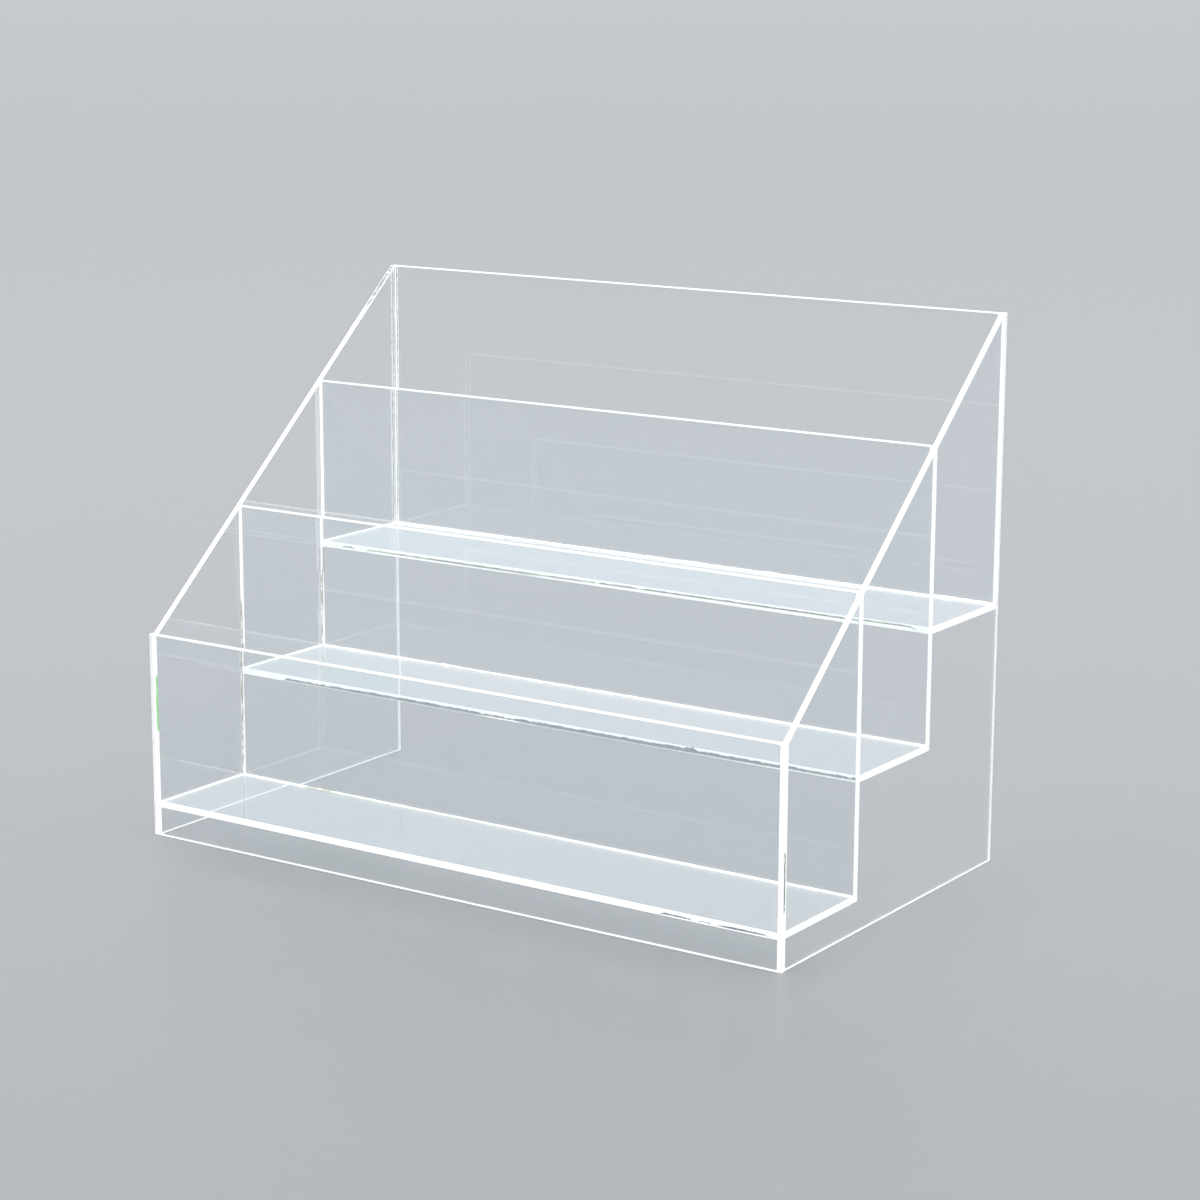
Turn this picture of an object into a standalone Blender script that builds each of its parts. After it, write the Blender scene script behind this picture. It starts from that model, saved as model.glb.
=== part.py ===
"""Three-tier display stand of clear acrylic sheet.

Nine flat pieces are cut from one sheet and cemented edge to face. A full-width front panel covers the
front edges of two five-sided side panels. Between the sides lie three shelves, the two risers that part
the tiers, and a back panel above the highest shelf. Each shelf butts the wall in front of it part-way
up and the wall behind it at its foot, so every tier is an open trough. The risers end at the sides'
sloping top edge.

Units are metres. The stand rests on Z = 0 with its front towards -Y, and the origin is the middle of its
footprint.
"""

import math

import bmesh
import bpy
from mathutils import Euler

# Driving dimensions
STAND_WIDTH = 0.305
SHEET = 0.0025
POCKET_DEPTH = 0.0524
BACK_POCKET_DEPTH = 0.0517
FOOT_SPACE = 0.012
TIER_RISE = 0.0467
LIP_HEIGHT = 0.0717
BACKREST_HEIGHT = 0.1165
BOND_LINE = 0.0003
ARRIS = 0.00025

# Walls from front to back: front panel, lower riser, upper riser, back panel
POCKETS = (POCKET_DEPTH, POCKET_DEPTH, BACK_POCKET_DEPTH)
STAND_DEPTH = SHEET + sum(pocket + SHEET for pocket in POCKETS)
WALL_FRONTS = [-STAND_DEPTH / 2]
for pocket in POCKETS:
    WALL_FRONTS.append(WALL_FRONTS[-1] + SHEET + pocket)
FRONT, LOWER, UPPER, BACK = range(len(WALL_FRONTS))

# Heights of the shelves' top faces and of the uprights
SHELF_TOPS = [FOOT_SPACE + SHEET + tier * TIER_RISE for tier in range(len(POCKETS))]
FRONT_HEIGHT = SHELF_TOPS[0] + LIP_HEIGHT
BACK_HEIGHT = SHELF_TOPS[-1] + BACKREST_HEIGHT

# The slope runs from the side panel's front edge to the back panel's front face
SIDE_FRONT = WALL_FRONTS[FRONT] + SHEET + BOND_LINE
SIDE_BACK = STAND_DEPTH / 2
SLOPE_END = WALL_FRONTS[BACK]

# Between the side panels, with a cement line at each end
INNER_WIDTH = STAND_WIDTH - 2 * (SHEET + BOND_LINE)

# A sheet is drawn in its own X and Y and thickens along its own Z
RIGHT_ANGLE = math.pi / 2
LYING = Euler((0, 0, 0))
FACING_FRONT = Euler((RIGHT_ANGLE, 0, 0))
FACING_RIGHT = Euler((RIGHT_ANGLE, 0, RIGHT_ANGLE))

ACRYLIC_COLOUR = (0.93, 0.96, 0.97, 1.0)
ACRYLIC_ROUGHNESS = 0.03
ACRYLIC_IOR = 1.49
ACRYLIC_ALPHA = 0.35


def clear_scene():
    for stale in list(bpy.data.objects):
        bpy.data.objects.remove(stale, do_unlink=True)


def acrylic(piece_name):
    """Clear cast acrylic, one material to a piece."""
    material = bpy.data.materials.new(piece_name + "_acrylic")
    material.use_nodes = True
    shader = material.node_tree.nodes["Principled BSDF"]
    shader.inputs["Base Color"].default_value = ACRYLIC_COLOUR
    shader.inputs["Roughness"].default_value = ACRYLIC_ROUGHNESS
    shader.inputs["Metallic"].default_value = 0.0
    shader.inputs["IOR"].default_value = ACRYLIC_IOR
    shader.inputs["Alpha"].default_value = ACRYLIC_ALPHA
    material.diffuse_color = ACRYLIC_COLOUR[:3] + (ACRYLIC_ALPHA,)
    return material


def rectangle(low_x, low_y, high_x, high_y):
    return [(low_x, low_y), (high_x, low_y), (high_x, high_y), (low_x, high_y)]


def sheet(name, outline, turn, place, free_sides, flush_sides=()):
    """One cut sheet: an outline drawn anticlockwise, thickened by SHEET along the sheet's own +Z.

    Outline side i runs from point i to the next. A free side has both its long arrises eased, and a flush
    side, which another sheet meets behind it, only the one on the sheet's far face.
    """
    mesh = bpy.data.meshes.new(name)
    shape = bmesh.new()
    near = [shape.verts.new((x, y, 0)) for x, y in outline]
    near_face = shape.faces.new(near)
    grown = bmesh.ops.extrude_face_region(shape, geom=[near_face])["geom"]
    far = [corner for corner in grown if isinstance(corner, bmesh.types.BMVert)]
    bmesh.ops.translate(shape, verts=far, vec=(0, 0, SHEET))
    bmesh.ops.recalc_face_normals(shape, faces=shape.faces)

    def arris(side, height):
        """The long edge of an outline side at one of the sheet's two faces."""
        start, end = outline[side], outline[(side + 1) % len(outline)]
        middle_x, middle_y = (start[0] + end[0]) / 2, (start[1] + end[1]) / 2

        def miss(edge):
            a, b = edge.verts[0].co, edge.verts[1].co
            return math.dist(((a.x + b.x) / 2, (a.y + b.y) / 2, (a.z + b.z) / 2), (middle_x, middle_y, height))

        return min(shape.edges, key=miss)

    eased = {arris(side, height) for side in free_sides for height in (0, SHEET)}
    eased |= {arris(side, SHEET) for side in flush_sides}
    bmesh.ops.bevel(shape, geom=list(eased), offset=ARRIS, segments=1, profile=0.5, affect="EDGES")
    shape.to_mesh(mesh)
    shape.free()

    piece = bpy.data.objects.new(name, mesh)
    piece.rotation_euler = turn
    piece.location = place
    piece.data.materials.append(acrylic(name))
    bpy.context.collection.objects.link(piece)
    return piece


def slope_height(y):
    """Height of the sides' sloping top edge above a point on the stand's depth."""
    share = (y - SIDE_FRONT) / (SLOPE_END - SIDE_FRONT)
    return FRONT_HEIGHT + share * (BACK_HEIGHT - FRONT_HEIGHT)


def side_panel(name, inner_x):
    """A five-sided side panel: foot, back edge, level top behind the slope, slope and front edge."""
    outline = [
        (SIDE_FRONT, 0),
        (SIDE_BACK, 0),
        (SIDE_BACK, BACK_HEIGHT),
        (SLOPE_END, BACK_HEIGHT),
        (SIDE_FRONT, FRONT_HEIGHT),
    ]
    return sheet(name, outline, FACING_RIGHT, (inner_x, 0, 0), free_sides=(0, 1, 2, 3))


def upright(name, wall, width, foot, top, **edges):
    """A sheet across the stand whose front face is one of the walls' fronts."""
    outline = rectangle(-width / 2, foot, width / 2, top)
    return sheet(name, outline, FACING_FRONT, (0, WALL_FRONTS[wall] + SHEET, 0), **edges)


def shelf(name, tier):
    """A level sheet from the rear face of one wall to the front face of the next."""
    front = WALL_FRONTS[tier] + SHEET + BOND_LINE
    rear = WALL_FRONTS[tier + 1] - BOND_LINE
    outline = rectangle(-INNER_WIDTH / 2, front, INNER_WIDTH / 2, rear)
    return sheet(name, outline, LYING, (0, 0, SHELF_TOPS[tier] - SHEET), free_sides=())


def build():
    clear_scene()
    upright("front_panel", FRONT, STAND_WIDTH, 0, FRONT_HEIGHT, free_sides=(0, 2), flush_sides=(1, 3))
    side_panel("left_side_panel", -STAND_WIDTH / 2)
    side_panel("right_side_panel", STAND_WIDTH / 2 - SHEET)

    shelf("lower_shelf", FRONT)
    shelf("middle_shelf", LOWER)
    shelf("upper_shelf", UPPER)

    # A riser's foot is level with the underside of the shelf it closes. Its top is cut square and meets the
    # slope at the middle of its thickness.
    for name, wall in (("lower_riser", LOWER), ("upper_riser", UPPER)):
        foot = SHELF_TOPS[wall - 1] - SHEET
        top = slope_height(WALL_FRONTS[wall] + SHEET / 2)
        upright(name, wall, INNER_WIDTH, foot, top, free_sides=(0, 2))
    upright("back_panel", BACK, INNER_WIDTH, SHELF_TOPS[-1] - SHEET, BACK_HEIGHT, free_sides=(0, 2))


build()
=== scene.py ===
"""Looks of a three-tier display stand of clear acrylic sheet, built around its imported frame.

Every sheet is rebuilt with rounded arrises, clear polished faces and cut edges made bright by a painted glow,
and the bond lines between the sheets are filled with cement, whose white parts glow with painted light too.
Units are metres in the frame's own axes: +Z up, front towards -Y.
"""

from collections import namedtuple
import math

import bmesh
import bpy
from mathutils import Matrix, Vector, noise


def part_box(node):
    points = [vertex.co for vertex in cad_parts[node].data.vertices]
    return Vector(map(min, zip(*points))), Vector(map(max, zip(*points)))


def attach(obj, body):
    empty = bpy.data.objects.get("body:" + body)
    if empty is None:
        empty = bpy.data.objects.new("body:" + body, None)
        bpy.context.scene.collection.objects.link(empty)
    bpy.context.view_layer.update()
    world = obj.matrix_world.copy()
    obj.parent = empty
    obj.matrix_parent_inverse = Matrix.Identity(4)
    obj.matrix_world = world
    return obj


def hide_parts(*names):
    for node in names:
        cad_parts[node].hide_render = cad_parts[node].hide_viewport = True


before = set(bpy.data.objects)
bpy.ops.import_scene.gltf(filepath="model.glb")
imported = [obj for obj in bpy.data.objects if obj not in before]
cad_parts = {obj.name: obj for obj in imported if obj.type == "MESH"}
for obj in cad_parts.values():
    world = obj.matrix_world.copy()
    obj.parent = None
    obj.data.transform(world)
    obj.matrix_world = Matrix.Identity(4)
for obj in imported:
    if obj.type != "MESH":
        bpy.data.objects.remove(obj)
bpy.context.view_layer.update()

MM = 0.001
X, Y, Z = range(3)

# Camera, fitted to the straight edges in the photograph
VIEW_AZIMUTH = math.radians(34.157)
VIEW_ELEVATION = math.radians(12.405)
VIEW_ROLL = math.radians(0.191)
VIEW_DISTANCE = 1.2133
VIEW_AIM = Vector((0.0119, 0.0062, 0.1052))
FOCAL_PIXELS = 2990.6
IMAGE_PIXELS = 1200
SENSOR_WIDTH_MM = 36
CLIP_NEAR = 0.05
CLIP_FAR = 100

# A pattern is a noise's features to a metre, its detail and its roughness. One whose coordinates are scaled
# already has 1 in the first place, and one drawn on a seam has features to a millimetre along the seam and
# across it. A spread is the stretch of a noise's values that takes what it drives from one end to the other.
NOISE_MIDDLE = 0.5

# Stage. A softbox has a place, the length of its side and its power in watts.
FLOOR_RADIUS = 30.0
FLOOR_SIDES = 96
FLOOR_CLEARANCE = 0.05 * MM
FLOOR_COLOUR = (0.272, 0.276, 0.282)
FLOOR_SHADE = 0.985
FLOOR_GRAIN = (900, 3, 0.5)
FLOOR_GRAIN_SPREAD = (0.3, 0.7)
FLOOR_ROUGHNESS = 0.22
FLOOR_SPECULAR = 0.4
HORIZON_LIGHT = (0.50, 0.51, 0.52)
RISING_LIGHT = (1.05, 1.09, 1.15)
ZENITH_LIGHT = (0.95, 0.97, 1.0)
RISING_HEIGHT = 0.16
ZENITH_HEIGHT = 0.7
SOFTBOX_AIM = Vector((0, 0, 0.1))
SOFTBOXES = {
    "front_left_softbox": ((-0.7, -1.2, 1.7), 1.5, 18),
    "right_softbox": ((1.2, 0.1, 1.6), 1.4, 14)}

# Sheets. A lean is how much of a face's normal lies along the thickness, and only a long edge is an arris.
WELD = 0.001 * MM
FLAT_WITHIN = math.radians(1)
ARRIS_ROUND = 0.1 * MM
ARRIS_SEGMENTS = 2
ROUND_PROFILE = 0.5
LONG_EDGE = 1 * MM
FACE_LEAN = 0.99
CHAMFER_LEAN = 0.2

# Polished faces. Hairlines have features to a metre along and across them, a turn in radians and the share
# of their noise that shows.
ACRYLIC_IOR = 1.49
FACE_TINT = (0.955, 0.975, 0.982)
FACE_TRANSMISSION = 0.98
SHADOW_TINT = (0.95, 0.965, 0.97)
SMEARS = (22, 4, 0.6)
SMEAR_SPREAD = (0.35, 0.8)
FACE_ROUGHNESS = (0.004, 0.03)
HAIRLINES = [
    (25, 2600, (0.3, 0.2, 0.5), 0.3),
    (30, 2200, (1.1, 0.9, 2.2), 0.28)]
HAIRLINE_NOISE = (1.0, 1.0, 0.5)
HAIRLINE_ROUGHNESS = 0.05
WAVES = (16, 1, 0.5)
WAVE_DEPTH = 0.012 * MM
WAVE_STRENGTH = 1.0

# Cut edges. The marks have features to a metre along the edge and through the sheet.
EDGE_COLOURS = ((0.50, 0.51, 0.515), (0.58, 0.585, 0.585))
EDGE_CLOUDS = (60, 3, 0.6)
EDGE_CLOUD_SPREAD = (0.3, 0.75)
# The edges' glow is painted light: emission that stands in for the light the sheet gathers, over grey base
# colours.
EDGE_GLOW = 0.58
EDGE_LIGHT = (0.985, 0.995, 1.0)
EDGE_MARKS = (900.0, 25.0)
EDGE_MARK_NOISE = (1.0, 3, 0.6)
EDGE_MARK_SPREAD = (0.25, 0.75)
EDGE_MARK_DEPTH = 0.02 * MM
EDGE_ROUGHNESS = (0.22, 0.5)
RIDGE_STRENGTH = 0.8
# The painted glow's colour where an edge is clear, nearly none.
DIMMED_GLOW = (0.05, 0.05, 0.05)
UMBER = (0.06, 0.05, 0.04)

# Clear patches in the cut edges: faint on all, and heavy in the core of one panel's slope, near its top. The
# heavy ones start between two places on the stand's depth and end between two distances from the rear edge.
# In these patches the edges' painted glow is dimmed and their colour is a darker grey.
PATCHES = (420, 4, 0.7)
PLAIN_SPREAD = (0.44, 0.58)
PLAIN_MOTTLE = 0.1
PLAIN_PATCH_GREY = (0.33, 0.36, 0.37)
MOTTLED_SHEET = "left_side_panel"
MOTTLED_CORE = (0.6 * MM, 2.1 * MM)
MOTTLE_SOFT = 0.1 * MM
MOTTLE_STARTS = (57 * MM, 64 * MM)
MOTTLE_ENDS = (3.4 * MM, 2.6 * MM)
MOTTLE_SPREAD = (0.38, 0.5)
MOTTLE_PATCH_GREY = (0.22, 0.27, 0.25)
HEAVY_MOTTLE = 0.9

# A dark vein that wanders up the front panel's right end. behind is its distance from the rear arris, and
# depth is how far in from the end's face it fades out.
# Along it the edge's painted glow is dimmed too.
VEINED_SHEET = "front_panel"
VEIN_BEHIND = (0.55 * MM, 1.15 * MM)
VEIN_HEIGHT = (23 * MM, 45 * MM)
VEIN_WANDER = 1.2 * MM
VEIN_SOFT = 0.05 * MM
VEIN_FADE = 1 * MM
VEIN_DEPTH = (1 * MM, 0.5 * MM)

# Cement's shape. A bead is as large as it spreads, but ripples and swells into blobs along the seam, and
# nearly vanishes where a third sheet leaves no room for it. Its fill is 0 where it is as hollow as can be and
# 1 where it is flat.
BOND_CLEARANCE = 0.01 * MM
CEMENT_STEP = 1.2 * MM
FEWEST_RINGS = 3
WALL_GOES_ON = 1.0 * MM
FINE_BEAD = 0.07 * MM
FULL_BEAD = 0.16 * MM
LOWER_REAR_BEAD = 0.14 * MM
MIDDLE_REAR_BEAD = 0.24 * MM
REAR_BEAD = 0.36 * MM
RIPPLE = 0.6
RIPPLE_LENGTH = 3.5 * MM
BLOB = 2.2
BLOB_LENGTH = 11 * MM
BLOB_ABOVE = 0.35
BLOB_SEED = 0.5
FOOT_SEED = 0.3
BEAD_STEPS = 4
BEAD_FILL = 0.35
BEAD_REACH = 0.6 * MM
NIL_BEAD_SHARE = 0.08
MENISCUS = 0.04 * MM
CEMENT_SMOOTH = math.radians(35)

# Cement's material. The wetted part takes its wide colour where the white lines are far enough apart.
SEED_STEP = 7.3
LINE_SOFT = 0.02
SOLID_UNDER = 0.05
RAGGED = ((0.42, 0.5), 4, 0.7)
RAGGED_SPREAD = (0.37, 0.63)
FOOT_RAGGED_SHARE = 0.3
BUBBLES = (0.6, 1.0)
BUBBLE_RIM = (0.1, 0.16)
BUBBLE_WHITE = 0.85
CLOUDS = ((0.25, 0.5), 3, 0.6)
CHALKS = ((0.56, 0.57, 0.575), (0.62, 0.62, 0.615))
CHALK_SPREAD = (0.3, 0.7)
HAZE = (0.50, 0.52, 0.55)
HAZE_SPREAD = (0.4, 0.7)
HAZE_MOST = 0.45
FLECK = (0.42, 0.41, 0.42)
FLECKS = ((1.6, 2.4), 2, 0.5)
FLECK_SPREAD = (0.68, 0.73)
FLECK_MOST = 0.6
GRIT = ((4, 4), 3, 0.6)
GRIT_DEPTH = 0.03 * MM
CEMENT_ROUGHNESS = (0.12, 0.5)
NARROW_TO_WIDE = (0.22, 0.36)
OLIVE = (0.36, 0.34, 0.27)
SLATE = (0.34, 0.36, 0.395)
INK = (0.20, 0.215, 0.28)
HONEY = (0.56, 0.54, 0.42)
# A bright green for a painted glint, the wetted colour of the bond at the front panel's left end.
GREEN_GLINT = (0.42, 0.98, 0.30)
STRAW = (0.84, 0.82, 0.55)
BLACK = (0, 0, 0)
WHITE = (1, 1, 1)
# Strengths of the bonds' painted glow: emission that stands in for the light the sheets let out at their
# cemented edges. It is strongest at the rear seams.
SEAM_GLOW = 0.66
LEFT_SEAM_GLOW = 0.75
SHELF_END_GLOW = 0.9
MIDDLE_SEAM_GLOW = 1.2
REAR_SEAM_GLOW = 1.6

# How a bond looks. Each band has a place, as a share of the seam's length, and then three shares: how far up
# the sheet's thickness, from its low side, the white upper line starts, how far up the white foot line
# reaches, and how white the foot line is. A band whose upper line starts at 0 is white all over, and one
# whose upper line starts past 1 has no such line. Between the two lines the joint is wetted clear, in one
# colour where they are close and another where they are far apart. ragged is how far the lines wander, as a
# share of the thickness, and into_wall is the glow of the side that lies on the wall.
# glow is the strength of a bond's painted glow on its white parts, and into_wall that of the painted glow on
# the side that lies on the wall.
Style = namedtuple("Style", "bands narrow wide ragged glow into_wall bead",
                   defaults=(OLIVE, SLATE, 0.06, SEAM_GLOW, None, FINE_BEAD))

SOLID = Style([(0, 0, 0, 1)])
LEFT_SHELF = SOLID._replace(glow=SHELF_END_GLOW, bead=FULL_BEAD)
STREAKED = Style([
    (0, 0, 0, 1), (0.831, 0, 0, 1), (0.836, 0.44, 0.22, 1), (0.856, 0.43, 0.19, 1), (0.876, 0.4, 0.2, 1),
    (0.88, 0, 0, 1), (0.887, 0, 0, 1), (0.89, 0.44, 0.24, 1), (0.902, 0.44, 0.24, 1), (0.905, 0, 0, 1),
    (0.911, 0, 0, 1), (0.915, 0.34, 0.2, 1), (0.93, 0.4, 0.17, 1), (0.95, 0.45, 0.17, 1),
    (0.985, 0.4, 0.25, 1), (0.993, 0, 0, 1)], narrow=INK, wide=INK, ragged=0.07)
WICKED = Style([
    (0, 0, 0, 1), (0.058, 0, 0, 1), (0.06, 0.2, 0.12, 1), (0.068, 0.2, 0.12, 1), (0.07, 0, 0, 1),
    (0.076, 0, 0, 1), (0.08, 0.5, 0.12, 0.8), (0.1, 0.48, 0.14, 0.6), (0.14, 0.47, 0.15, 0.5),
    (0.17, 0.52, 0.15, 0.55), (0.22, 0.62, 0.14, 0.5), (0.3, 0.66, 0.15, 0.55), (0.36, 0.62, 0.14, 0.5),
    (0.41, 0.6, 0.14, 0.5), (0.42, 0.5, 0.15, 0.5), (0.44, 0.5, 0.2, 0.9), (0.482, 0.5, 0.22, 1),
    (0.488, 0.64, 0.15, 0.6), (0.6, 0.66, 0.14, 0.5), (0.748, 0.68, 0.15, 0.55), (0.753, 0.95, 0.15, 0.5),
    (0.764, 0.95, 0.15, 0.5), (0.768, 0.66, 0.16, 0.6), (0.87, 0.64, 0.18, 0.8), (1, 0.6, 0.24, 0.9)],
    ragged=0.12)
SPLIT = Style([
    (0, 0, 0, 1), (0.034, 0, 0, 1), (0.038, 0.62, 0.36, 1), (0.056, 0.62, 0.36, 1), (0.06, 0, 0, 1),
    (0.08, 0, 0, 1), (0.086, 0.54, 0.36, 1), (0.2, 0.56, 0.31, 1), (0.26, 0.58, 0.28, 0.9),
    (0.33, 0.56, 0.31, 0.8), (0.36, 0.56, 0.31, 0.6), (0.4, 0.54, 0.36, 0.9), (0.42, 0.58, 0.34, 0.8),
    (0.48, 0.62, 0.4, 1), (0.487, 0.4, 0.45, 1), (0.495, 0.64, 0.4, 1), (0.552, 0.72, 0.43, 1),
    (0.557, 0.4, 0.5, 1), (0.566, 0.7, 0.44, 1), (0.75, 0.74, 0.47, 1), (0.88, 0.74, 0.5, 1),
    (0.97, 0.76, 0.6, 1), (0.985, 0, 0, 1)])
REAR_LOWER = Style([
    (0, 0, 0, 1), (0.115, 0, 0, 1), (0.119, 1.3, 0, 1), (0.14, 1.12, 0, 1), (0.16, 1.25, 0, 1),
    (0.165, 0.55, 0, 1), (0.24, 0.45, 0, 1), (0.28, 0.25, 0, 1), (0.4, 0.5, 0, 1), (0.46, 0.25, 0, 1),
    (0.52, 0.4, 0, 1), (0.62, 0.05, 0, 1), (1, 0, 0, 1)],
    narrow=STRAW, wide=STRAW, ragged=0.2, glow=MIDDLE_SEAM_GLOW, bead=LOWER_REAR_BEAD)
REAR = Style([
    (0, 0, 0, 1), (0.12, 0, 0, 1), (0.2, 0.45, 0, 1), (0.34, 0.4, 0, 1), (0.44, 0.2, 0, 1),
    (0.6, 0.05, 0, 1), (1, 0, 0, 1)],
    narrow=HONEY, wide=HONEY, ragged=0.2, glow=REAR_SEAM_GLOW, bead=REAR_BEAD)
REAR_MIDDLE = REAR._replace(glow=MIDDLE_SEAM_GLOW, bead=MIDDLE_REAR_BEAD)
# The wetted part of this bond is painted with a green glint.
FRONT_LEFT = Style([
    (0, 0, 0, 1), (0.515, 0, 0, 1), (0.518, 1.3, 0.82, 1), (0.56, 1.3, 0.64, 1), (0.62, 1.3, 0.72, 1),
    (0.66, 1.3, 0.6, 1), (0.7, 1.3, 0.74, 1), (0.78, 1.3, 0.66, 1), (0.797, 1.3, 0.88, 1), (0.8, 0, 0, 1)],
    narrow=GREEN_GLINT, wide=GREEN_GLINT, ragged=0.16)
LEFT_LOWER_RISER = Style([
    (0, 0, 0, 1), (0.08, 0.25, 0, 1), (0.2, 0.4, 0, 1), (0.36, 0.5, 0, 1), (0.44, 0.6, 0, 1),
    (0.55, 0.45, 0, 1), (0.62, 0.3, 0, 1), (0.66, 0, 0, 1)],
    narrow=HONEY, wide=HONEY, ragged=0.15, glow=LEFT_SEAM_GLOW, into_wall=0.9)
LEFT_UPPER_RISER = LEFT_LOWER_RISER._replace(into_wall=3.0, bands=[
    (0, 0, 0, 1), (0.1, 0.2, 0, 1), (0.18, 0.45, 0, 1), (0.29, 0.6, 0, 1), (0.305, 1.3, 0.6, 1),
    (0.38, 1.3, 0.66, 1), (0.386, 0, 0, 1)])
LEFT_BACK = Style([
    (0, 0, 0, 1), (0.08, 0.7, 0.25, 0.9), (0.3, 0.64, 0.3, 1), (0.42, 0.7, 0.25, 0.9),
    (0.5, 0.6, 0.34, 1), (0.7, 0.68, 0.28, 0.9), (0.93, 0.7, 0.25, 1), (1, 0.68, 0.3, 1)],
    ragged=0.15, glow=LEFT_SEAM_GLOW, into_wall=6.0)

# The wall, the sheet whose edge butts it and the bond's style. A joint's place in the list is its seed.
JOINTS = [
    ("front_panel", "left_side_panel", FRONT_LEFT),
    ("front_panel", "right_side_panel", SOLID),
    ("front_panel", "lower_shelf", STREAKED),
    ("lower_riser", "lower_shelf", REAR_LOWER),
    ("lower_riser", "middle_shelf", WICKED),
    ("upper_riser", "middle_shelf", REAR_MIDDLE),
    ("upper_riser", "upper_shelf", SPLIT),
    ("back_panel", "upper_shelf", REAR),
    ("left_side_panel", "lower_shelf", LEFT_SHELF),
    ("left_side_panel", "middle_shelf", LEFT_SHELF),
    ("left_side_panel", "upper_shelf", LEFT_SHELF),
    ("left_side_panel", "lower_riser", LEFT_LOWER_RISER),
    ("left_side_panel", "upper_riser", LEFT_UPPER_RISER),
    ("left_side_panel", "back_panel", LEFT_BACK),
    ("right_side_panel", "lower_shelf", SOLID),
    ("right_side_panel", "middle_shelf", SOLID),
    ("right_side_panel", "upper_shelf", SOLID),
    ("right_side_panel", "lower_riser", SOLID),
    ("right_side_panel", "upper_riser", SOLID),
    ("right_side_panel", "back_panel", SOLID)]

# A joint's axes run along its seam, across the sheet's thickness and through the gap. ahead is True where
# the sheet is on the wall's high side. face is the wall's face, foot the sheet's low side, and goes_on says
# of the sheet's low and high sides whether the wall goes on past them.
Joint = namedtuple("Joint", "wall sheet along across through ahead face gap foot thick start end goes_on")

# A seam's coordinates in a material, along it and across it, and the joint's seed
Seam = namedtuple("Seam", "along across seed")


def make_camera():
    """The photograph's camera: it looks from the right and a little above, rolled by a fifth of a degree."""
    azimuth, elevation = VIEW_AZIMUTH, VIEW_ELEVATION
    back = Vector((math.sin(azimuth) * math.cos(elevation), -math.cos(azimuth) * math.cos(elevation),
                   math.sin(elevation)))
    level = Vector((math.cos(azimuth), math.sin(azimuth), 0))
    upright = back.cross(level)
    right = math.cos(VIEW_ROLL) * level + math.sin(VIEW_ROLL) * upright
    up = back.cross(right)
    data = bpy.data.cameras.new("camera")
    data.sensor_width = SENSOR_WIDTH_MM
    data.lens = SENSOR_WIDTH_MM * FOCAL_PIXELS / IMAGE_PIXELS
    data.clip_start = CLIP_NEAR
    data.clip_end = CLIP_FAR
    camera = bpy.data.objects.new("camera", data)
    turn = Matrix((right, up, back)).transposed().to_4x4()
    camera.matrix_world = Matrix.Translation(VIEW_AIM + back * VIEW_DISTANCE) @ turn
    bpy.context.collection.objects.link(camera)
    bpy.context.scene.camera = camera


def add(tree, kind, inputs=None, **settings):
    """A node with its settings, whose inputs are values or the sockets that feed them."""
    node = tree.nodes.new(kind)
    for name, value in settings.items():
        setattr(node, name, value)
    for name, value in (inputs or {}).items():
        if isinstance(value, bpy.types.NodeSocket):
            tree.links.new(value, node.inputs[name])
        else:
            node.inputs[name].default_value = value
    return node


def combine(tree, operation, *values):
    """Two or more values taken together by one operation, from the first to the last."""
    result = values[0]
    for value in values[1:]:
        result = add(tree, "ShaderNodeMath", {0: result, 1: value}, operation=operation).outputs[0]
    return result


def remap(tree, value, low, high, to_low, to_high):
    """value from low..high to to_low..to_high, held at both ends."""
    inputs = {"Value": value, "From Min": low, "From Max": high, "To Min": to_low, "To Max": to_high}
    return add(tree, "ShaderNodeMapRange", inputs).outputs["Result"]


def within(tree, value, low, high, soft):
    """1 where value is from low to high, falling to 0 over soft past either end."""
    rise = remap(tree, value, low - soft, low, 0, 1)
    fall = remap(tree, value, high, high + soft, 1, 0)
    return combine(tree, "MULTIPLY", rise, fall)


def rgba(colour):
    """A colour with the alpha that colour sockets want."""
    return (*colour, 1.0)


def blend(tree, factor, a, b):
    """Colour a where factor is 0 and colour b where it is 1, each a colour or the socket that feeds it."""
    node = tree.nodes.new("ShaderNodeMix")
    node.data_type = "RGBA"
    sockets = {socket.identifier: socket for socket in node.inputs}
    tree.links.new(factor, sockets["Factor_Float"])
    for name, colour in (("A_Color", a), ("B_Color", b)):
        if isinstance(colour, bpy.types.NodeSocket):
            tree.links.new(colour, sockets[name])
        else:
            sockets[name].default_value = rgba(colour)
    return next(socket for socket in node.outputs if socket.identifier == "Result_Color")


def ramp_colour(tree, factor, rows):
    """The colour that factor picks from rows of a place and three numbers, straight between the rows."""
    node = add(tree, "ShaderNodeValToRGB", {"Fac": factor})
    stops = node.color_ramp.elements
    while len(stops) < len(rows):
        stops.new(1.0)
    while len(stops) > len(rows):
        stops.remove(stops[-1])
    for stop, (place, *numbers) in zip(stops, rows):
        stop.position = place
        stop.color = rgba(numbers)
    return node.outputs["Color"]


def object_coordinates(tree, scale=(1, 1, 1), turn=(0, 0, 0)):
    """The piece's own coordinates in metres, turned and then scaled."""
    place = add(tree, "ShaderNodeTexCoord").outputs["Object"]
    turned = add(tree, "ShaderNodeMapping", {"Vector": place, "Rotation": turn}).outputs["Vector"]
    return add(tree, "ShaderNodeMapping", {"Vector": turned, "Scale": scale}).outputs["Vector"]


def object_xyz(tree):
    """The piece's own coordinates in metres, one socket to an axis."""
    place = add(tree, "ShaderNodeTexCoord").outputs["Object"]
    return add(tree, "ShaderNodeSeparateXYZ", {"Vector": place}).outputs


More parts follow.
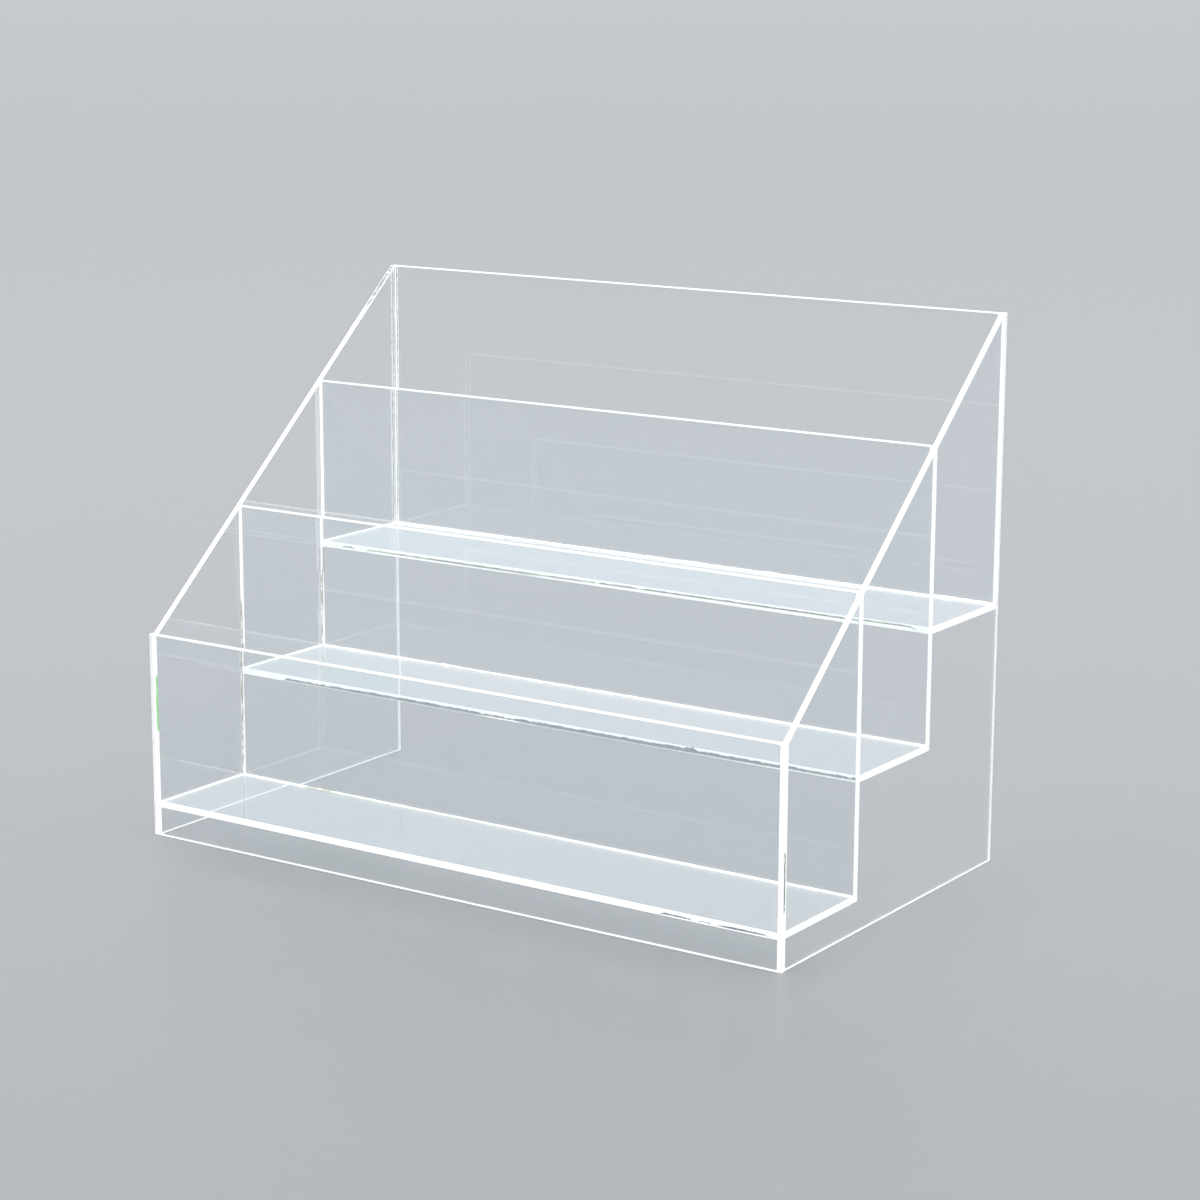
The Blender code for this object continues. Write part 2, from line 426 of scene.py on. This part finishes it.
def noise_value(tree, vector, scale, detail, roughness):
    """Noise, mostly from 0.3 to 0.7."""
    inputs = {"Vector": vector, "Scale": scale, "Detail": detail, "Roughness": roughness}
    return add(tree, "ShaderNodeTexNoise", inputs).outputs["Fac"]


def bump(tree, height, depth, strength):
    """Normals for a surface that height raises by up to depth."""
    inputs = {"Height": height, "Distance": depth, "Strength": strength}
    return add(tree, "ShaderNodeBump", inputs).outputs["Normal"]


def new_tree(name):
    """A material with only its output node, its node tree and the socket for its surface."""
    material = bpy.data.materials.new(name)
    material.use_nodes = True
    tree = material.node_tree
    tree.nodes.clear()
    return material, tree, add(tree, "ShaderNodeOutputMaterial").inputs["Surface"]


def hairlines(tree, along_scale, across_scale, turn, share):
    """1 on fine straight scratches that lie along one direction, 0 elsewhere."""
    drawn = object_coordinates(tree, (along_scale, across_scale, across_scale), turn)
    return remap(tree, noise_value(tree, drawn, *HAIRLINE_NOISE), 1 - share, 1, 0, 1)


def clear_faces():
    """Polished cast acrylic: clear and faintly cool, with a slow waviness, smears and a few hairlines."""
    material, tree, surface = new_tree("clear_acrylic_face")
    place = object_coordinates(tree)
    smear = remap(tree, noise_value(tree, place, *SMEARS), *SMEAR_SPREAD, *FACE_ROUGHNESS)
    lines = combine(tree, "MAXIMUM", *[hairlines(tree, *kind) for kind in HAIRLINES])
    roughness = combine(tree, "ADD", smear, combine(tree, "MULTIPLY", lines, HAIRLINE_ROUGHNESS))
    wave = bump(tree, noise_value(tree, place, *WAVES), WAVE_DEPTH, WAVE_STRENGTH)
    glass = add(tree, "ShaderNodeBsdfPrincipled", {
        "Base Color": rgba(FACE_TINT), "Roughness": roughness, "IOR": ACRYLIC_IOR,
        "Transmission Weight": FACE_TRANSMISSION, "Normal": wave})
    unlit = add(tree, "ShaderNodeBsdfTransparent", {"Color": rgba(SHADOW_TINT)})
    lamp = add(tree, "ShaderNodeLightPath").outputs["Is Shadow Ray"]
    mixed = add(tree, "ShaderNodeMixShader", {0: lamp, 1: glass.outputs[0], 2: unlit.outputs[0]})
    tree.links.new(mixed.outputs[0], surface)
    return material


def mottle(tree, patch):
    """How clear the core of the left side panel's slope is: in patches, and only near its top."""
    low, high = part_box(MOTTLED_SHEET)
    xyz = object_xyz(tree)
    core = within(tree, xyz[X], low[X] + MOTTLED_CORE[0], low[X] + MOTTLED_CORE[1], MOTTLE_SOFT)
    start = remap(tree, xyz[Y], *MOTTLE_STARTS, 0, 1)
    end = remap(tree, xyz[Y], high[Y] - MOTTLE_ENDS[0], high[Y] - MOTTLE_ENDS[1], HEAVY_MOTTLE, 0)
    where = combine(tree, "MULTIPLY", core, combine(tree, "MULTIPLY", start, end))
    return combine(tree, "MULTIPLY", where, remap(tree, patch, *MOTTLE_SPREAD, 0, 1))


def vein(tree, patch):
    """1 on a ragged line up the front panel's right end, close to its rear arris."""
    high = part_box(VEINED_SHEET)[1]
    xyz = object_xyz(tree)
    wander = combine(tree, "MULTIPLY", combine(tree, "SUBTRACT", patch, NOISE_MIDDLE), VEIN_WANDER)
    behind = combine(tree, "ADD", combine(tree, "SUBTRACT", high[Y], xyz[Y]), wander)
    line = within(tree, behind, *VEIN_BEHIND, VEIN_SOFT)
    height = within(tree, xyz[Z], *VEIN_HEIGHT, VEIN_FADE)
    end = remap(tree, xyz[X], high[X] - VEIN_DEPTH[0], high[X] - VEIN_DEPTH[1], 0, 1)
    return combine(tree, "MULTIPLY", line, height, end)


def cut_edges(node_name):
    """A cut edge, made bright by a painted glow that stands in for the light the sheet gathers, with fine
    marks across the thickness.
    """
    material, tree, surface = new_tree("cut_edge_" + node_name)
    scale = [EDGE_MARKS[0]] * 3
    scale[thickness_axis(node_name)] = EDGE_MARKS[1]
    marks = noise_value(tree, object_coordinates(tree, scale), *EDGE_MARK_NOISE)
    cloud = noise_value(tree, object_coordinates(tree), *EDGE_CLOUDS)
    patch = noise_value(tree, object_coordinates(tree), *PATCHES)
    clear = combine(tree, "MULTIPLY", remap(tree, patch, *PLAIN_SPREAD, 0, 1), PLAIN_MOTTLE)
    clear_colour = PLAIN_PATCH_GREY
    if node_name == MOTTLED_SHEET:
        clear = combine(tree, "MAXIMUM", clear, mottle(tree, patch))
        clear_colour = MOTTLE_PATCH_GREY
    if node_name == VEINED_SHEET:
        clear = combine(tree, "MAXIMUM", clear, vein(tree, patch))
        clear_colour = UMBER
    white = blend(tree, remap(tree, cloud, *EDGE_CLOUD_SPREAD, 0, 1), *EDGE_COLOURS)
    shader = add(tree, "ShaderNodeBsdfPrincipled", {
        "Base Color": blend(tree, clear, white, clear_colour),
        "Roughness": remap(tree, marks, *EDGE_MARK_SPREAD, *EDGE_ROUGHNESS),
        "IOR": ACRYLIC_IOR,
        "Normal": bump(tree, marks, EDGE_MARK_DEPTH, RIDGE_STRENGTH),
        # Painted glow, dimmed in the clear patches and along the vein.
        "Emission Color": blend(tree, clear, EDGE_LIGHT, DIMMED_GLOW),
        "Emission Strength": EDGE_GLOW})
    tree.links.new(shader.outputs[0], surface)
    return material


def on_seam(tree, seam, density):
    """Noise coordinates with so many features to a millimetre along and across a seam."""
    along = combine(tree, "MULTIPLY", seam.along, density[0] / MM)
    across = combine(tree, "MULTIPLY", seam.across, density[1] / MM)
    inputs = {"X": along, "Y": across, "Z": seam.seed * SEED_STEP}
    return add(tree, "ShaderNodeCombineXYZ", inputs).outputs[0]


def seam_noise(tree, seam, density, detail, roughness):
    """Noise drawn on a seam, different for each joint."""
    return noise_value(tree, on_seam(tree, seam, density), 1.0, detail, roughness)


def dryness(tree, seam, up, bands, most_ragged):
    """1 on the two white lines, in bubbles and where the bond is white all over, 0 where it is wetted.

    up is how far up the sheet's thickness a point lies, as a share, and bands are the style's three shares.
    """
    upper_edge, foot_edge, foot_white = bands
    ragged = remap(tree, seam_noise(tree, seam, *RAGGED), *RAGGED_SPREAD, -most_ragged, most_ragged)
    above = combine(tree, "SUBTRACT", combine(tree, "ADD", up, ragged), upper_edge)
    upper = remap(tree, above, -LINE_SOFT, LINE_SOFT, 0, 1)
    foot_top = combine(tree, "ADD", foot_edge, combine(tree, "MULTIPLY", ragged, FOOT_RAGGED_SHARE))
    below = combine(tree, "SUBTRACT", foot_top, up)
    foot = combine(tree, "MULTIPLY", remap(tree, below, -LINE_SOFT, LINE_SOFT, 0, 1), foot_white)
    solid = remap(tree, upper_edge, 0.0, SOLID_UNDER, 1, 0)
    cells = add(tree, "ShaderNodeTexVoronoi", {"Vector": on_seam(tree, seam, BUBBLES), "Scale": 1.0})
    bubble = remap(tree, cells.outputs["Distance"], *BUBBLE_RIM, BUBBLE_WHITE, 0)
    return combine(tree, "MAXIMUM", upper, foot, solid, bubble)


def wetted_colour(tree, bands, cloud, style):
    """The clear part of a bond, coloured by how far apart its white lines are, with a haze in clouds."""
    apart = combine(tree, "SUBTRACT", bands[0], bands[1])
    clear = blend(tree, remap(tree, apart, *NARROW_TO_WIDE, 0, 1), style.narrow, style.wide)
    return blend(tree, remap(tree, cloud, *HAZE_SPREAD, 0, HAZE_MOST), clear, HAZE)


def cement_bond(prefix, joint, style, seed):
    """A cemented edge: chalky white with a painted glow where air is trapped, and clear and tinted where the
    cement wetted it.
    """
    material, tree, surface = new_tree(prefix + joint.wall + "_" + joint.sheet)
    xyz = object_xyz(tree)
    seam = Seam(xyz[joint.along], xyz[joint.across], seed)
    along = remap(tree, seam.along, joint.start, joint.end, 0, 1)
    up = remap(tree, seam.across, joint.foot, joint.foot + joint.thick, 0, 1)
    bands = add(tree, "ShaderNodeSeparateColor", {"Color": ramp_colour(tree, along, style.bands)}).outputs
    dry = dryness(tree, seam, up, bands, style.ragged)
    cloud = seam_noise(tree, seam, *CLOUDS)
    fleck = remap(tree, seam_noise(tree, seam, *FLECKS), *FLECK_SPREAD, 0, FLECK_MOST)
    chalk = blend(tree, fleck, blend(tree, remap(tree, cloud, *CHALK_SPREAD, 0, 1), *CHALKS), FLECK)
    grit = combine(tree, "MULTIPLY", seam_noise(tree, seam, *GRIT), dry)
    # Painted glow on the white parts, less their flecks.
    lit = combine(tree, "MULTIPLY", dry, combine(tree, "SUBTRACT", 1.0, fleck))
    shader = add(tree, "ShaderNodeBsdfPrincipled", {
        "Base Color": blend(tree, dry, wetted_colour(tree, bands, cloud, style), chalk),
        "Roughness": remap(tree, dry, 0, 1, *CEMENT_ROUGHNESS),
        "IOR": ACRYLIC_IOR,
        "Normal": bump(tree, grit, GRIT_DEPTH, RIDGE_STRENGTH),
        "Emission Color": blend(tree, lit, BLACK, WHITE),
        "Emission Strength": style.glow})
    tree.links.new(shader.outputs[0], surface)
    return material


def new_object(name, shape, materials):
    """An object made from a finished bmesh, which is freed."""
    mesh = bpy.data.meshes.new(name)
    shape.to_mesh(mesh)
    shape.free()
    for material in materials:
        mesh.materials.append(material)
    thing = bpy.data.objects.new(name, mesh)
    bpy.context.collection.objects.link(thing)
    return thing


def thickness_axis(node_name):
    """The axis along which a sheet is thin."""
    low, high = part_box(node_name)
    return min((X, Y, Z), key=lambda axis: high[axis] - low[axis])


def joint_between(wall, sheet):
    """Where a sheet's edge butts a wall's face, read from the boxes of the two nodes."""
    wall_low, wall_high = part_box(wall)
    low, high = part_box(sheet)
    across = thickness_axis(sheet)
    through = next(axis for axis in (X, Y, Z) if low[axis] >= wall_high[axis] or high[axis] <= wall_low[axis])
    along = next(axis for axis in (X, Y, Z) if axis not in (across, through))
    ahead = low[through] >= wall_high[through]
    face = wall_high[through] if ahead else wall_low[through]
    gap = low[through] - face if ahead else face - high[through]
    start, end = max(low[along], wall_low[along]), min(high[along], wall_high[along])
    goes_on = (wall_low[across] < low[across] - WALL_GOES_ON, wall_high[across] > high[across] + WALL_GOES_ON)
    return Joint(wall, sheet, along, across, through, ahead, face, gap, low[across],
                 high[across] - low[across], start, end, goes_on)


def rounded_sheet(node_name):
    """A CAD sheet's shape with rounded arrises. Its faces have material 0 and its cut edges material 1."""
    axis = thickness_axis(node_name)
    shape = bmesh.new()
    shape.from_mesh(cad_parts[node_name].data)
    bmesh.ops.remove_doubles(shape, verts=shape.verts, dist=WELD)
    bmesh.ops.dissolve_limit(shape, angle_limit=FLAT_WITHIN, verts=shape.verts, edges=shape.edges)
    chamfers = [face for face in shape.faces if CHAMFER_LEAN < abs(face.normal[axis]) < FACE_LEAN]
    arrises = {edge for face in chamfers for edge in face.edges if edge.calc_length() > LONG_EDGE}
    bmesh.ops.bevel(shape, geom=list(arrises), offset=ARRIS_ROUND, segments=ARRIS_SEGMENTS,
                    profile=ROUND_PROFILE, affect="EDGES", clamp_overlap=True)
    for face in shape.faces:
        face.material_index = 0 if abs(face.normal[axis]) > FACE_LEAN else 1
    return shape


def dress_sheet(node_name, face_material, edge_material, bonds):
    """Rebuilds one CAD sheet with clear faces, bright cut edges and the bonds on its cemented edges."""
    shape = rounded_sheet(node_name)
    materials = [face_material, edge_material]
    for joint, bond in bonds:
        bonded = joint.face + (joint.gap if joint.ahead else -joint.gap)
        for face in shape.faces:
            if abs(face.calc_center_median()[joint.through] - bonded) < WELD:
                face.material_index = len(materials)
        materials.append(bond)
    piece = new_object(node_name + "_sheet", shape, materials)
    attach(piece, "root")
    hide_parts(node_name)


def slope_height(y):
    """Height of the sides' sloping top edge above a point on the stand's depth."""
    start_y, start_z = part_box("left_side_panel")[0][Y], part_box("front_panel")[1][Z]
    end_y, end_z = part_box("back_panel")[0][Y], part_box("back_panel")[1][Z]
    return start_z + (y - start_y) / (end_y - start_y) * (end_z - start_z)


def seam_point(joint, through, across, along):
    """A world point from its places through the gap, across the thickness and along the seam."""
    place = [0.0, 0.0, 0.0]
    place[joint.through] = joint.face + (through if joint.ahead else -through)
    place[joint.across] = joint.foot + across
    place[joint.along] = along
    return place


def seam_end(joint, across):
    """Where the seam ends, which at a riser is no higher than the slope beside it."""
    if joint.along == Z and joint.across == Y:
        return min(joint.end, slope_height(joint.foot + across)) - BOND_CLEARANCE
    return joint.end - BOND_CLEARANCE


def shut_in(joint, low_across, high_across):
    """Stretches of the seam where a third sheet leaves no room for a bead between two places across it."""
    a = seam_point(joint, 0, low_across, joint.start)
    b = seam_point(joint, joint.gap + BEAD_REACH, high_across, joint.end)
    stretches = []
    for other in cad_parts:
        if other in (joint.wall, joint.sheet):
            continue
        low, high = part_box(other)
        if all(low[i] < max(a[i], b[i]) and high[i] > min(a[i], b[i]) for i in (X, Y, Z)):
            stretches.append((low[joint.along] - BEAD_REACH, high[joint.along] + BEAD_REACH))
    return stretches


def bead_sizes(seed, place, bead):
    """How far a bead climbs the wall and spreads on the sheet, uneven along the seam."""
    blob = max(0.0, noise.noise(Vector((place / BLOB_LENGTH, seed + BLOB_SEED, 0))) - BLOB_ABOVE)
    ripples = [1 + RIPPLE * noise.noise(Vector((place / RIPPLE_LENGTH, seed, way))) for way in range(2)]
    return [bead * (ripple + BLOB * blob) for ripple in ripples]


def bead_profile(sizes, gap, thick, goes_on):
    """Points of the cement's outline past the high side of a sheet, from the wall to the sheet.

    Each is through the gap and across the thickness. Where the wall goes on, the cement ends in a hollow
    bead in the corner, and otherwise in a meniscus between the two flush faces.
    """
    near, far = BOND_CLEARANCE, gap - BOND_CLEARANCE
    if not goes_on:
        return [(near, thick - MENISCUS), (gap / 2, thick - 2 * MENISCUS), (far, thick - MENISCUS)]
    climb, spread = sizes
    start = Vector((near, thick + climb))
    end = Vector((gap + spread, thick + BOND_CLEARANCE))
    corner = Vector((near, thick + BOND_CLEARANCE)).lerp((start + end) / 2, BEAD_FILL)
    points = []
    for step in range(BEAD_STEPS + 1):
        t = step / BEAD_STEPS
        points.append(tuple((1 - t) ** 2 * start + 2 * t * (1 - t) * corner + t ** 2 * end))
    return points + [(far, thick + BOND_CLEARANCE)]


def cement_outline(joint, bead, seed, here, shut):
    """The cement's closed outline at one place along the seam. Its first and last points lie on the wall."""
    low_bead, high_bead = [bead * (NIL_BEAD_SHARE if any(a <= here <= b for a, b in stretches) else 1)
                           for stretches in shut]
    high = bead_profile(bead_sizes(seed, here, high_bead), joint.gap, joint.thick, joint.goes_on[1])
    low = bead_profile(bead_sizes(seed + FOOT_SEED, here, low_bead), joint.gap, joint.thick, joint.goes_on[0])
    return high + [(through, joint.thick - across) for through, across in reversed(low)]


def cement_shape(joint, bead, seed, wall_index):
    """The cement's outline swept along the seam. Its side on the wall has the material wall_index."""
    shut = (shut_in(joint, -BEAD_REACH, 0), shut_in(joint, joint.thick, joint.thick + BEAD_REACH))
    rings = max(FEWEST_RINGS, round((joint.end - joint.start) / CEMENT_STEP))
    first = joint.start + BOND_CLEARANCE
    shape = bmesh.new()
    last = None
    for ring in range(rings + 1):
        share = ring / rings
        here = joint.start + share * (joint.end - joint.start)
        verts = []
        for through, across in cement_outline(joint, bead, seed, here, shut):
            held = min(max(across, 0), joint.thick)
            along = first + share * (seam_end(joint, held) - first)
            verts.append(shape.verts.new(seam_point(joint, through, across, along)))
        if last:
            for i, vert in enumerate(verts):
                side = shape.faces.new((last[i - 1], last[i], vert, verts[i - 1]))
                side.material_index = wall_index if i == 0 else 0
        else:
            shape.faces.new(verts)
        last = verts
    shape.faces.new(last)
    bmesh.ops.recalc_face_normals(shape, faces=shape.faces)
    return shape


def cement(joint, bead, seed, materials):
    """The cement between a wall's face and the edge of a sheet that butts it.

    The last of its materials is for the side that lies on the wall.
    """
    shape = cement_shape(joint, bead, seed, len(materials) - 1)
    piece = new_object("cement_" + joint.wall + "_" + joint.sheet, shape, materials)
    piece.data.shade_smooth()
    piece.data.set_sharp_from_angle(angle=CEMENT_SMOOTH)
    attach(piece, "root")


def make_floor():
    """A wide pale satin floor with a fine grain."""
    shape = bmesh.new()
    bmesh.ops.create_circle(shape, cap_ends=True, segments=FLOOR_SIDES, radius=FLOOR_RADIUS,
                            matrix=Matrix.Translation((0, 0, -FLOOR_CLEARANCE)))
    material, tree, surface = new_tree("pale_floor")
    grain = noise_value(tree, object_coordinates(tree), *FLOOR_GRAIN)
    dark = tuple(FLOOR_SHADE * level for level in FLOOR_COLOUR)
    colour = blend(tree, remap(tree, grain, *FLOOR_GRAIN_SPREAD, 0, 1), dark, FLOOR_COLOUR)
    shader = add(tree, "ShaderNodeBsdfPrincipled", {
        "Base Color": colour, "Roughness": FLOOR_ROUGHNESS, "Specular IOR Level": FLOOR_SPECULAR})
    tree.links.new(shader.outputs[0], surface)
    floor = new_object("floor", shape, [material])


def make_world():
    """A soft studio dome: dim at the horizon, brightest a little above it, and even overhead."""
    world = bpy.data.worlds.new("studio")
    bpy.context.scene.world = world
    world.use_nodes = True
    tree = world.node_tree
    tree.nodes.clear()
    place = add(tree, "ShaderNodeTexCoord").outputs["Generated"]
    height = add(tree, "ShaderNodeSeparateXYZ", {"Vector": place}).outputs["Z"]
    low = blend(tree, remap(tree, height, 0, RISING_HEIGHT, 0, 1), HORIZON_LIGHT, RISING_LIGHT)
    colour = blend(tree, remap(tree, height, RISING_HEIGHT, ZENITH_HEIGHT, 0, 1), low, ZENITH_LIGHT)
    light = add(tree, "ShaderNodeBackground", {"Color": colour, "Strength": 1.0})
    output = add(tree, "ShaderNodeOutputWorld")
    tree.links.new(light.outputs[0], output.inputs["Surface"])


def make_softbox(name, place, side, power):
    """A square white light that faces the stand."""
    data = bpy.data.lights.new(name, "AREA")
    data.shape = "SQUARE"
    data.size = side
    data.energy = power
    lamp = bpy.data.objects.new(name, data)
    lamp.location = place
    lamp.rotation_euler = (SOFTBOX_AIM - Vector(place)).to_track_quat("-Z", "Y").to_euler()
    bpy.context.collection.objects.link(lamp)


def fill_joints():
    """Fills every joint with cement, and gives each joint with the material of its sheet's edge."""
    bonds = []
    for seed, (wall, sheet, style) in enumerate(JOINTS):
        joint = joint_between(wall, sheet)
        bond = cement_bond("bond_", joint, style, seed)
        layers = [bond]
        # The side on the wall gets a painted glow of its own.
        if style.into_wall:
            layers.append(cement_bond("wall_bond_", joint, style._replace(glow=style.into_wall), seed))
        cement(joint, style.bead, seed, layers)
        bonds.append((joint, bond))
    return bonds


def dress_sheets(bonds):
    """Dresses every CAD sheet, each with the bonds on its own edges."""
    faces = clear_faces()
    for node_name in list(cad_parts):
        own_bonds = [(joint, bond) for joint, bond in bonds if joint.sheet == node_name]
        dress_sheet(node_name, faces, cut_edges(node_name), own_bonds)


make_camera()
make_floor()
make_world()
for name, (place, side, power) in SOFTBOXES.items():
    make_softbox(name, place, side, power)
bpy.context.scene.view_settings.view_transform = "Standard"

dress_sheets(fill_joints())
